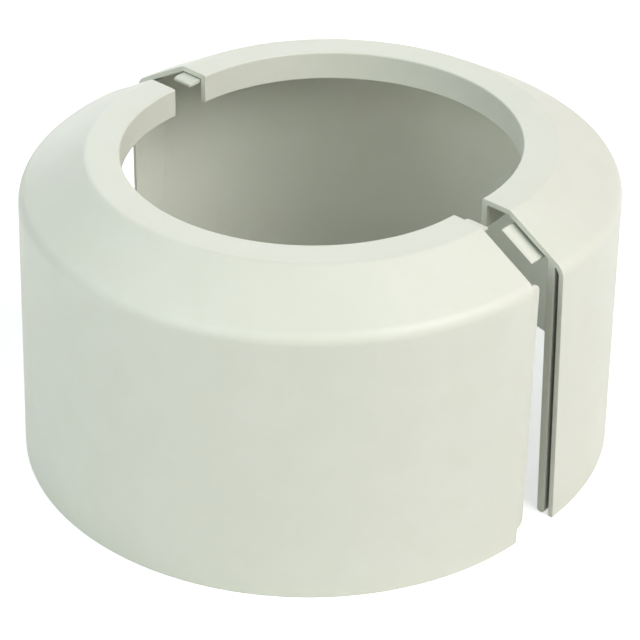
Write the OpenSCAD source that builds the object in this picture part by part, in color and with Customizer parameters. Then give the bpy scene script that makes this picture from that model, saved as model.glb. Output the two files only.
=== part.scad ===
// Split pipe rosette: two like half shells that slide together round a soil pipe and hide the hole it comes from.
// Millimetres, +Z up. The origin lies on the base plane, halfway between the two halves as they stand apart.

/* [Pipe collar] */
// Outside diameter of the pipe that the rosette goes round
pipe_d = 110; // [100:1:125]
// Radial gap between the pipe and the collar
pipe_gap = 0.25; // [0.1:0.05:0.5]
// Depth of the collar below the top face
collar_h = 9.3; // [6:0.1:14]
// Thickness of the collar
collar_t = 1.8; // [1.2:0.1:2.4]

/* [Shell] */
// Height from the base to the top face
height = 98; // [80:1:120]
// Width of the flat land round the bore
land_w = 10; // [8:0.5:14]
// Slope of the cone below the horizontal, in degrees
cone_angle = 30; // [20:1:40]
// Diameter at the shoulder, where the cone meets the wall
shoulder_d = 170.6; // [164:0.2:172]
// Diameter at the base
base_d = 174; // [173:0.5:186]
// Thickness of the shell
wall_t = 1.6; // [1.2:0.1:2]

/* [Rounded corners] */
// Radius of the shoulder, on the outside
shoulder_round = 4.6; // [3:0.2:8]
// Radius of the bend between the land and the cone, on the outside
crease_round = 3; // [2.5:0.5:6]
// Radius on the edges of the collar
collar_round = 0.5; // [0.2:0.1:0.8]
// Radius where the collar joins the land underneath
collar_fillet = 0.6; // [0.4:0.1:0.8]
// Radius on the edges of the base
base_round = 0.4; // [0.2:0.1:0.5]

/* [Cut edges] */
// How far the two halves stand apart
apart = 12.8; // [6:0.2:20]
// Seam left between the cut faces when the halves are together
seam = 0.2; // [0.1:0.05:0.5]
// How far each wall edge falls back at the base, so that the top closes first
edge_relief = 2.2; // [0:0.2:3]

/* [Wall tongue and groove] */
// Reach of the tongue past the cut edge
tongue_reach = 5; // [3:0.25:6]
// Thickness of the tongue
tongue_t = 1; // [0.8:0.1:1.4]
// Length of the tongue's root behind the cut edge
tongue_root = 6; // [4:0.5:10]
// Distance from the shoulder down to the top of the tongue
tongue_drop = 1.2; // [1:0.2:6]
// Height of the tongue's lower end above the base
tongue_lift = 3; // [1:0.5:8]
// Radius on the two free corners of the tongue
tongue_round = 2.5; // [1:0.25:3]
// Clearance on each side of the tongue in its groove
tongue_gap = 0.3; // [0.2:0.05:0.4]
// Clearance past the end of the tongue in its groove
groove_end_gap = 0.6; // [0.4:0.1:1]
// Thickness of the inner flange of the groove
flange_t = 2.6; // [1.4:0.2:3]
// Thickness of the web that joins the flange to the wall
web_t = 1.6; // [1.2:0.1:2.4]
// Height of the web's lower end above the base
web_lift = 3; // [2:0.5:8]

/* [Alignment tabs] */
// Reach of both tabs past the cut edge
tab_reach = 4.4; // [3:0.2:5]
// Thickness of both tabs
tab_t = 1.2; // [1:0.1:1.8]
// Length of each tab's root behind the cut edge
tab_root = 5; // [3:0.5:8]
// How far behind the cut edge each tab's root joins the shell
tab_undercut = 1.5; // [0.5:0.25:2]
// Length of the lead-in slope on a tab's tip
lead_l = 1.2; // [0.5:0.1:2]
// Drop of the lead-in slope
lead_h = 0.4; // [0.1:0.1:0.6]
// Clearance between the land tab and the land that it slides under
land_tab_gap = 0.3; // [0.2:0.05:0.5]
// Room kept between the land tab and the collar beside it
land_tab_side = 0.4; // [0.4:0.1:1.5]
// Room kept between the land tab and the bend of the shell
land_tab_margin = 0.4; // [0.4:0.1:2.5]
// Clearance between the cone tab and the cone that it slides under
cone_tab_gap = 1.2; // [0.3:0.1:1.5]
// Distance from the start of the cone to the cone tab, along the slope
cone_tab_start = 2.4; // [1:0.2:4]
// Width of the cone tab, along the slope
cone_tab_w = 13; // [8:0.5:14]

/* [Hidden] */
$fn = 96;

// Sizes that follow from the ones above
bore_r = pipe_d / 2 + pipe_gap;
collar_r = bore_r + collar_t;
land_r = bore_r + land_w;
shoulder_r = shoulder_d / 2;
base_r = base_d / 2;
shoulder_z = height - (shoulder_r - land_r) * tan(cone_angle);
flare = (base_r - shoulder_r) / shoulder_z;
slot_t = tongue_t + 2 * tongue_gap;
groove_depth = tongue_reach + groove_end_gap - seam;
flange_round = 0.45 * flange_t;
// Overlap that fuses one form of a moulding with the next, and the reach of cutting shapes past the shell
fuse = 0.4;
beyond = 10;
arc_steps = 8;
plastic = [0.92, 0.93, 0.88];

// Heights and radii of the surface that lies a given depth below the outside of the shell
function cone_z(r, depth) = height - (r - land_r) * tan(cone_angle) - depth / cos(cone_angle);
function wall_r(z, depth) = base_r - flare * z - depth / cos(atan(flare));
function corner_z(depth) = (cone_z(base_r, depth) + depth / cos(atan(flare)) * tan(cone_angle))
                           / (1 - flare * tan(cone_angle));
function corner(depth) = [wall_r(corner_z(depth), depth), corner_z(depth)];
function crease(depth) = [land_r - depth * tan(cone_angle / 2), height - depth];

// Section of a rib behind the wall, between two depths, that rises from a height into the underside of the cone
function rib_top(depth) = let (r = corner(depth)[0]) [r, cone_z(r, wall_t - fuse)];
function rib(outer, inner, low) =
    [[wall_r(low, outer), low], rib_top(outer), rib_top(inner), [wall_r(low, inner), low]];

// Rounds each corner of an outline with its own radius
function unit(v) = v / norm(v);
function turn(a) = a > 180 ? a - 360 : a < -180 ? a + 360 : a;
function corner_arc(before, p, after, r) =
    let (u = unit(before - p), v = unit(after - p), half = acos(u * v) / 2,
         centre = p + unit(u + v) * r / sin(half),
         from = p + u * r / tan(half) - centre, to = p + v * r / tan(half) - centre,
         start = atan2(from[1], from[0]), sweep = turn(atan2(to[1], to[0]) - start))
    [for (i = [0 : arc_steps]) let (a = start + sweep * i / arc_steps) centre + r * [cos(a), sin(a)]];
function rounded(points, radii) =
    let (n = len(points))
    [for (i = [0 : n - 1]) each corner_arc(points[(i + n - 1) % n], points[i], points[(i + 1) % n], radii[i])];

// Section of the shell, from the bore over the land, cone and wall to the base, and back along the inside
module shell_section() {
    polygon(rounded(
        [[bore_r, height], crease(0), corner(0), [base_r, 0],
         [base_r - wall_t, 0], corner(wall_t), crease(wall_t),
         [collar_r, height - wall_t], [collar_r, height - collar_h], [bore_r, height - collar_h]],
        [collar_round, crease_round, shoulder_round, base_round,
         base_round, shoulder_round - wall_t, crease_round - wall_t,
         collar_fillet, collar_round, collar_round]));
}

// Band of the wall between two depths and two heights, for the ribs that run down the wall's edge
module wall_band(outer, inner, low, high) {
    rotate_extrude()
        polygon([[wall_r(low, outer), low], [wall_r(high, outer), high],
                 [wall_r(high, inner), high], [wall_r(low, inner), low]]);
}

// Rounded top edge of the tongue, which follows the inside of the shoulder a clearance away
function tongue_top(outer, inner) =
    let (r = shoulder_round - outer, start = atan(flare), sweep = acos(max(-1, (shoulder_round - inner) / r)))
    [for (i = [0 : arc_steps]) let (a = start + sweep * i / arc_steps)
        corner(shoulder_round) + r * [cos(a), sin(a)]];

module tongue_band(outer, inner) {
    rotate_extrude()
        polygon([[wall_r(tongue_lift, outer), tongue_lift],
                 each tongue_top(outer, inner),
                 [wall_r(tongue_lift, inner), tongue_lift]]);
}

// Inner flange of the groove, with a round lower end
module flange_band() {
    outer = wall_t + slot_t;
    rotate_extrude()
        polygon(rounded(rib(outer, outer + flange_t, 0), [flange_round, fuse / 2, fuse / 2, flange_round]));
}

// Side outline of everything from one distance behind the cut edge to another. It leans back with the wall's edge.
module edge_strip(from, to) {
    top = height + beyond;
    back = seam / 2 + edge_relief;
    front = seam / 2;
    drop = edge_relief / shoulder_z * beyond;
    rotate([90, 0, 90])
        linear_extrude(base_r + beyond)
            polygon([[front + from, top], [front + from, shoulder_z], [back + drop + from, -beyond],
                     [back + drop + to, -beyond], [front + to, shoulder_z], [front + to, top]]);
}

// Outline of the tongue seen from the side, with round free corners
module tongue_side() {
    low = tongue_lift;
    high = shoulder_z - tongue_drop;
    lean = edge_relief / shoulder_z;
    tip_low = seam / 2 + lean * (shoulder_z - low) - tongue_reach;
    tip_high = seam / 2 + lean * (shoulder_z - high) - tongue_reach;
    root = seam / 2 + edge_relief + tongue_root;
    rotate([90, 0, 90])
        linear_extrude(base_r + beyond)
            polygon(rounded([[tip_low, low], [tip_high, high], [root, high], [root, low]],
                            [tongue_round, tongue_round, fuse, fuse]));
}

// Thin tongue inside the wall, set in by the wall it slides behind, and its root pad
module wall_tongue() {
    outer = wall_t + tongue_gap;
    pad_top = corner_z(shoulder_round) - fuse;
    intersection() {
        tongue_band(outer, outer + tongue_t);
        tongue_side();
    }
    intersection() {
        wall_band(wall_t - fuse, outer + fuse, tongue_lift, pad_top);
        tongue_side();
        edge_strip(0, tongue_root + edge_relief + beyond);
    }
}

// Groove that takes the tongue: a flange behind the wall and a web that closes the groove
module wall_groove() {
    intersection() {
        flange_band();
        edge_strip(0, groove_depth + web_t);
    }
    intersection() {
        rotate_extrude() polygon(rib(wall_t - fuse, wall_t + slot_t + fuse, web_lift));
        edge_strip(groove_depth, groove_depth + web_t);
    }
}

// Flat tab under the shell. Its root joins the shell, and the rest is a clearance lower, with a lead-in at the tip.
module tab(width, gap) {
    tip = seam / 2 - tab_reach;
    edge = seam / 2 + tab_undercut;
    root = seam / 2 + tab_root;
    low = -gap - tab_t;
    rotate([90, 0, 90])
        linear_extrude(width)
            polygon([[edge, fuse], [edge, -gap], [tip + lead_l, -gap], [tip, -gap - lead_h],
                     [tip, low], [root, low], [root, fuse]]);
}

module land_tab() {
    from = collar_r + land_tab_side;
    to = crease(wall_t)[0] - land_tab_margin;
    translate([from, 0, height - wall_t]) tab(to - from, land_tab_gap);
}

module cone_tab() {
    from = crease(wall_t)[0] + cone_tab_start * cos(cone_angle);
    translate([from, 0, cone_z(from, wall_t)]) rotate([0, cone_angle, 0]) tab(cone_tab_w, cone_tab_gap);
}

// One half: grooved end with the cone tab at +X, tongued end with the land tab at -X, cut faces towards -Y
module half_rosette() {
    intersection() {
        rotate_extrude() shell_section();
        union() {
            edge_strip(0, base_r + beyond);
            mirror([1, 0, 0]) edge_strip(0, base_r + beyond);
        }
    }
    wall_groove();
    cone_tab();
    mirror([1, 0, 0]) {
        wall_tongue();
        land_tab();
    }
}

module rear_half() {
    color(plastic) translate([0, apart / 2, 0]) half_rosette();
}

module front_half() {
    color(plastic) rotate([0, 0, 180]) translate([0, apart / 2, 0]) half_rosette();
}

rear_half();
front_half();
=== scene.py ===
import math
import bpy
from mathutils import Matrix, Vector

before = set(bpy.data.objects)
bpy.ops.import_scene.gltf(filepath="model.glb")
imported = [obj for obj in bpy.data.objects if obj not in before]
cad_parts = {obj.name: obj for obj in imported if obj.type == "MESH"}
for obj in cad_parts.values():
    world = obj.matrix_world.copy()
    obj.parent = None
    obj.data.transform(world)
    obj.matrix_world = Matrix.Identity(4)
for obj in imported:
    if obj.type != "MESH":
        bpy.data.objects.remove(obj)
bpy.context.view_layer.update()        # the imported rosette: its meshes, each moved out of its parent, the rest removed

scene = bpy.context.scene
mm = 0.001
white = (1, 1, 1, 1)


def addNode(tree, kind, place, **values):
    node = tree.nodes.new(kind)
    node.location = place
    for name, value in values.items():
        setattr(node, name, value)
    return node


def addMath(tree, place, operation, *values):
    # each value is a number or another node's socket
    node = addNode(tree, "ShaderNodeMath", place, operation=operation)
    for socket, value in zip(node.inputs, values):
        if isinstance(value, (int, float)):
            socket.default_value = value
        else:
            tree.links.new(value, socket)
    return node.outputs["Value"]


def addNoise(tree, place, where, scale, detail, roughness=0.5):
    noise = addNode(tree, "ShaderNodeTexNoise", place)
    noise.inputs["Scale"].default_value = scale
    noise.inputs["Detail"].default_value = detail
    noise.inputs["Roughness"].default_value = roughness
    tree.links.new(where, noise.inputs["Vector"])
    return noise.outputs["Fac"]


def addRamp(tree, place, factor, span, low, high):
    ramp = addNode(tree, "ShaderNodeValToRGB", place)
    for element, position, colour in zip(ramp.color_ramp.elements, span, (low, high)):
        element.position = position
        element.color = (*colour, 1)
    tree.links.new(factor, ramp.inputs["Fac"])
    return ramp.outputs["Color"]


def addRange(tree, place, value, span, low, high):
    mapped = addNode(tree, "ShaderNodeMapRange", place)
    for name, number in zip(("From Min", "From Max", "To Min", "To Max"), (*span, low, high)):
        mapped.inputs[name].default_value = number
    tree.links.new(value, mapped.inputs["Value"])
    return mapped.outputs["Result"]


def addBump(tree, place, height, depth, normal):
    bump = addNode(tree, "ShaderNodeBump", place)
    bump.inputs["Strength"].default_value = 1.0
    bump.inputs["Distance"].default_value = depth
    tree.links.new(height, bump.inputs["Height"])
    tree.links.new(normal, bump.inputs["Normal"])
    return bump.outputs["Normal"]


def seenRays(tree, amount):
    # the amount for what is seen directly, in gloss or through a clear piece, and none for the rest
    path = addNode(tree, "ShaderNodeLightPath", (-1100, -200)).outputs
    seen = addMath(tree, (-900, -150), "MAXIMUM", path["Is Camera Ray"], path["Is Glossy Ray"])
    seen = addMath(tree, (-750, -200), "MAXIMUM", seen, path["Is Transmission Ray"])
    return addMath(tree, (-600, -200), "MULTIPLY", seen, amount)


print("stage 1: plastic")

plasticLook = {
    "light": (0.805, 0.817, 0.733),     # the moulding's own off-white
    "dull": (0.772, 0.787, 0.700),      # where the colour has mixed in a little unevenly
    "clouds": {"scale": 16.0, "detail": 4.0},       # every scale is a count per metre
    "cloudSpan": (0.35, 0.62),
    "swirl": (0.985, 0.985, 0.975),     # finer streaks, times the colour under them
    "swirls": {"scale": 90.0, "detail": 3.0, "roughness": 0.6},
    "swirlSpan": (0.40, 0.62),
    "rough": (0.44, 0.56),              # follows the clouds
    "roughSpan": (0.3, 0.7),
    "scuffs": {"scale": 55.0, "detail": 5.0, "roughness": 0.65},
    "scuffStretch": (0.35, 0.35, 2.5),  # hands rub the wall sideways, so they are drawn out round it
    "scuffSpan": (0.52, 0.70),
    "scuffRough": 0.05,                 # how much duller the rubbed places are
    "waves": {"scale": 26.0, "detail": 1.0},
    "waveDepth": 0.22 * mm,             # slow sink and flow of the cooled wall
    "grain": {"scale": 2200.0, "detail": 3.0},
    "grainDepth": 0.010 * mm,           # fine texture of the mould's steel
    "edgeRadius": 0.35 * mm,
    "edgeRays": 6,
    # painted shade in slots and corners, taken from how closed in each point is
    "paintedShadeReach": 6.0 * mm,              # how far round a point is looked for walls
    "paintedShadeRays": 8,
    "paintedShadeSpan": (0.06, 0.26),           # how open it is, from the bottom of a slot to an inner corner
    "paintedShadeTone": 0.12,                   # the share of its colour that the bottom of a slot keeps under the painted shade
    "index": 1.5,
    "softShare": 0.15,                  # light that goes into the wall and comes out beside
    "softDepth": 0.9 * mm,
    "softTint": (1.0, 0.9, 0.7),
}


def mouldedPlastic(look):
    material = bpy.data.materials.new("mouldedPlastic")
    material.use_nodes = True
    tree = material.node_tree
    link = tree.links.new
    skin = tree.nodes["Principled BSDF"].inputs
    place = addNode(tree, "ShaderNodeTexCoord", (-1700, 0)).outputs["Object"]

    clouds = addNoise(tree, (-1300, 400), place, **look["clouds"])
    swirls = addNoise(tree, (-1300, 150), place, **look["swirls"])
    base = addRamp(tree, (-1000, 400), clouds, look["cloudSpan"], look["dull"], look["light"])
    streak = addRamp(tree, (-1000, 150), swirls, look["swirlSpan"], look["swirl"], white[:3])
    tone = addNode(tree, "ShaderNodeMix", (-650, 350), data_type="RGBA", blend_type="MULTIPLY")
    tone.inputs["Factor"].default_value = 1.0
    link(base, tone.inputs["A"])
    link(streak, tone.inputs["B"])

    # painted shade: narrow slots and inner corners are darkened in the base colour by how closed in they
    # are
    shadeProbe = addNode(tree, "ShaderNodeAmbientOcclusion", (-1000, 650), only_local=True)
    shadeProbe.samples = look["paintedShadeRays"]
    shadeProbe.inputs["Distance"].default_value = look["paintedShadeReach"]
    shade = addRange(tree, (-800, 650), shadeProbe.outputs["AO"], look["paintedShadeSpan"], look["paintedShadeTone"], 1.0)
    shaded = addNode(tree, "ShaderNodeVectorMath", (-400, 450), operation="SCALE")
    link(tone.outputs["Result"], shaded.inputs[0])
    link(shade, shaded.inputs["Scale"])
    link(shaded.outputs["Vector"], skin["Base Color"])

    # a satin skin that is duller where it has been rubbed
    stretch = addNode(tree, "ShaderNodeMapping", (-1500, -150))
    stretch.inputs["Scale"].default_value = look["scuffStretch"]
    link(place, stretch.inputs["Vector"])
    scuffs = addNoise(tree, (-1300, -100), stretch.outputs["Vector"], **look["scuffs"])
    gloss = addRange(tree, (-1000, -50), clouds, look["roughSpan"], *look["rough"])
    rubbed = addRange(tree, (-1000, -300), scuffs, look["scuffSpan"], 0.0, look["scuffRough"])
    link(addMath(tree, (-650, -100), "ADD", gloss, rubbed), skin["Roughness"])

    # softened edges, then the waves and the grain of the mould on top
    edges = addNode(tree, "ShaderNodeBevel", (-1000, -650), samples=look["edgeRays"])
    edges.inputs["Radius"].default_value = look["edgeRadius"]
    waves = addNoise(tree, (-1300, -500), place, **look["waves"])
    grain = addNoise(tree, (-1300, -750), place, **look["grain"])
    wavy = addBump(tree, (-700, -500), waves, look["waveDepth"], edges.outputs["Normal"])
    link(addBump(tree, (-450, -500), grain, look["grainDepth"], wavy), skin["Normal"])

    skin["IOR"].default_value = look["index"]
    skin["Subsurface Weight"].default_value = look["softShare"]
    skin["Subsurface Radius"].default_value = look["softTint"]
    skin["Subsurface Scale"].default_value = look["softDepth"]
    return material


plastic = mouldedPlastic(plasticLook)
for name in ("rear_half", "front_half"):
    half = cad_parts[name]
    half.data.materials.clear()
    half.data.materials.append(plastic)

print("stage 2: floor and light")

floorLook = {
    "size": 6.0,
    "colour": (0.80, 0.80, 0.80),
    "near": 0.25,                       # out to here, in metres, the floor shows its shadow
    "far": 0.90,                        # and from here on it is plain white
    "nearLift": 0.60,                   # what is seen on top of the lamps' own light
    "farLift": 1.0,
    "grain": {"scale": 350.0, "detail": 2.0},
    "grainSpan": (0.3, 0.7),
    "rough": (0.85, 1.0),
}


def paleFloor(look):
    material = bpy.data.materials.new("paleFloor")
    material.use_nodes = True
    tree = material.node_tree
    link = tree.links.new
    tree.nodes.clear()
    place = addNode(tree, "ShaderNodeTexCoord", (-1500, 0)).outputs["Object"]
    matt = addNode(tree, "ShaderNodeBsdfDiffuse", (-400, 100))
    matt.inputs["Color"].default_value = (*look["colour"], 1)
    grain = addNoise(tree, (-900, 300), place, **look["grain"])
    link(addRange(tree, (-650, 300), grain, look["grainSpan"], *look["rough"]), matt.inputs["Roughness"])
    reach = addNode(tree, "ShaderNodeVectorMath", (-1300, -350), operation="LENGTH")
    link(place, reach.inputs[0])
    span = (look["near"], look["far"])
    lift = addRange(tree, (-1100, -400), reach.outputs["Value"], span, look["nearLift"], look["farLift"])
    glow = addNode(tree, "ShaderNodeEmission", (-400, -100))
    glow.inputs["Color"].default_value = white
    link(seenRays(tree, lift), glow.inputs["Strength"])
    both = addNode(tree, "ShaderNodeAddShader", (-150, 0))
    link(matt.outputs["BSDF"], both.inputs[0])
    link(glow.outputs["Emission"], both.inputs[1])
    out = addNode(tree, "ShaderNodeOutputMaterial", (50, 0))
    link(both.outputs["Shader"], out.inputs["Surface"])
    return material


def makeFloor(look):
    half = look["size"] / 2
    mesh = bpy.data.meshes.new("floor")
    corners = [(x * half, y * half, 0) for x, y in ((-1, -1), (1, -1), (1, 1), (-1, 1))]
    mesh.from_pydata(corners, [], [(0, 1, 2, 3)])
    mesh.materials.append(paleFloor(look))
    floor = bpy.data.objects.new("floor", mesh)
    scene.collection.objects.link(floor)


makeFloor(floorLook)

worldLook = {
    "strength": 0.03,                   # the little light that comes from all round
    "seen": 1.0,                        # white where it is looked at
}


def makeWorld(look):
    world = bpy.data.worlds.new("studio")
    scene.world = world
    world.use_nodes = True
    tree = world.node_tree
    tree.nodes.clear()
    sky = addNode(tree, "ShaderNodeBackground", (-200, 0))
    sky.inputs["Color"].default_value = white
    seen = seenRays(tree, look["seen"] - look["strength"])
    tree.links.new(addMath(tree, (-400, -150), "ADD", seen, look["strength"]), sky.inputs["Strength"])
    out = addNode(tree, "ShaderNodeOutputWorld", (0, 0))
    tree.links.new(sky.outputs["Background"], out.inputs["Surface"])


makeWorld(worldLook)

lampRig = {
    "aim": (0, 0, 45 * mm),             # every lamp looks here
    "away": 1.3,
    "size": 0.9,
}
lamps = {
    # turns go round from the front, which is -Y, towards +X, and rises up from the floor, in degrees
    "frontLamp": {"turn": 0, "rise": 25, "power": 5.3, "colour": (0.97, 1.0, 0.94)},
    "leftLamp": {"turn": -30, "rise": 42, "power": 3.4, "colour": (0.72, 0.92, 1.0)},
    "rightLamp": {"turn": 90, "rise": 42, "power": 9.4, "colour": (0.96, 1.0, 0.96)},
    "sideLamp": {"turn": 120, "rise": 42, "power": 6.4, "colour": (1.0, 0.89, 0.90)},
    "farLamp": {"turn": 235, "rise": 18, "power": 6.0, "colour": (1.0, 1.0, 0.98)},
}


def outwards(turn, rise):
    # the direction in which a lamp or the camera stands
    turn, rise = math.radians(turn), math.radians(rise)
    return Vector((math.sin(turn) * math.cos(rise), -math.cos(turn) * math.cos(rise), math.sin(rise)))


def makeLamp(name, lamp, rig):
    data = bpy.data.lights.new(name, "AREA")
    data.shape = "SQUARE"
    data.size = rig["size"]
    data.energy = lamp["power"]
    data.color = lamp["colour"]
    holder = bpy.data.objects.new(name, data)
    towards = outwards(lamp["turn"], lamp["rise"])
    holder.location = Vector(rig["aim"]) + rig["away"] * towards
    holder.rotation_euler = (-towards).to_track_quat("-Z", "Y").to_euler()
    scene.collection.objects.link(holder)


for name, lamp in lamps.items():
    makeLamp(name, lamp, lampRig)

print("stage 3: camera")

cameraView = {
    "turn": 41.336,                     # degrees, as for the lamps
    "rise": 31.483,
    "roll": -1.349,
    "away": 0.75154,
    "target": (0, 6.4 * mm, 45 * mm),
    "offset": (0.0057194, -0.0136187),  # how far to the left and up the target is passed, per metre
    "lens": 137.078,
    "sensor": 36,
    "clip": (0.05, 20),
}


def makeCamera(view):
    ahead = -outwards(view["turn"], view["rise"])
    turn, roll = math.radians(view["turn"]), math.radians(view["roll"])
    level = Vector((math.cos(turn), math.sin(turn), 0))
    upright = level.cross(ahead)
    right = level * math.cos(roll) - upright * math.sin(roll)
    up = level * math.sin(roll) + upright * math.cos(roll)
    place = Vector(view["target"]) - ahead * view["away"]
    aside, above = view["offset"]
    back = -(ahead - right * aside + up * above).normalized()
    right = up.cross(back).normalized()
    up = back.cross(right)
    data = bpy.data.cameras.new("camera")
    data.sensor_width = view["sensor"]
    data.lens = view["lens"]
    data.clip_start, data.clip_end = view["clip"]
    camera = bpy.data.objects.new("camera", data)
    turned = Matrix((right, up, back)).transposed().to_4x4()
    turned.translation = place
    camera.matrix_world = turned
    scene.collection.objects.link(camera)
    scene.camera = camera


makeCamera(cameraView)
scene.view_settings.view_transform = "Standard"

print("stage 4: the scene is built")
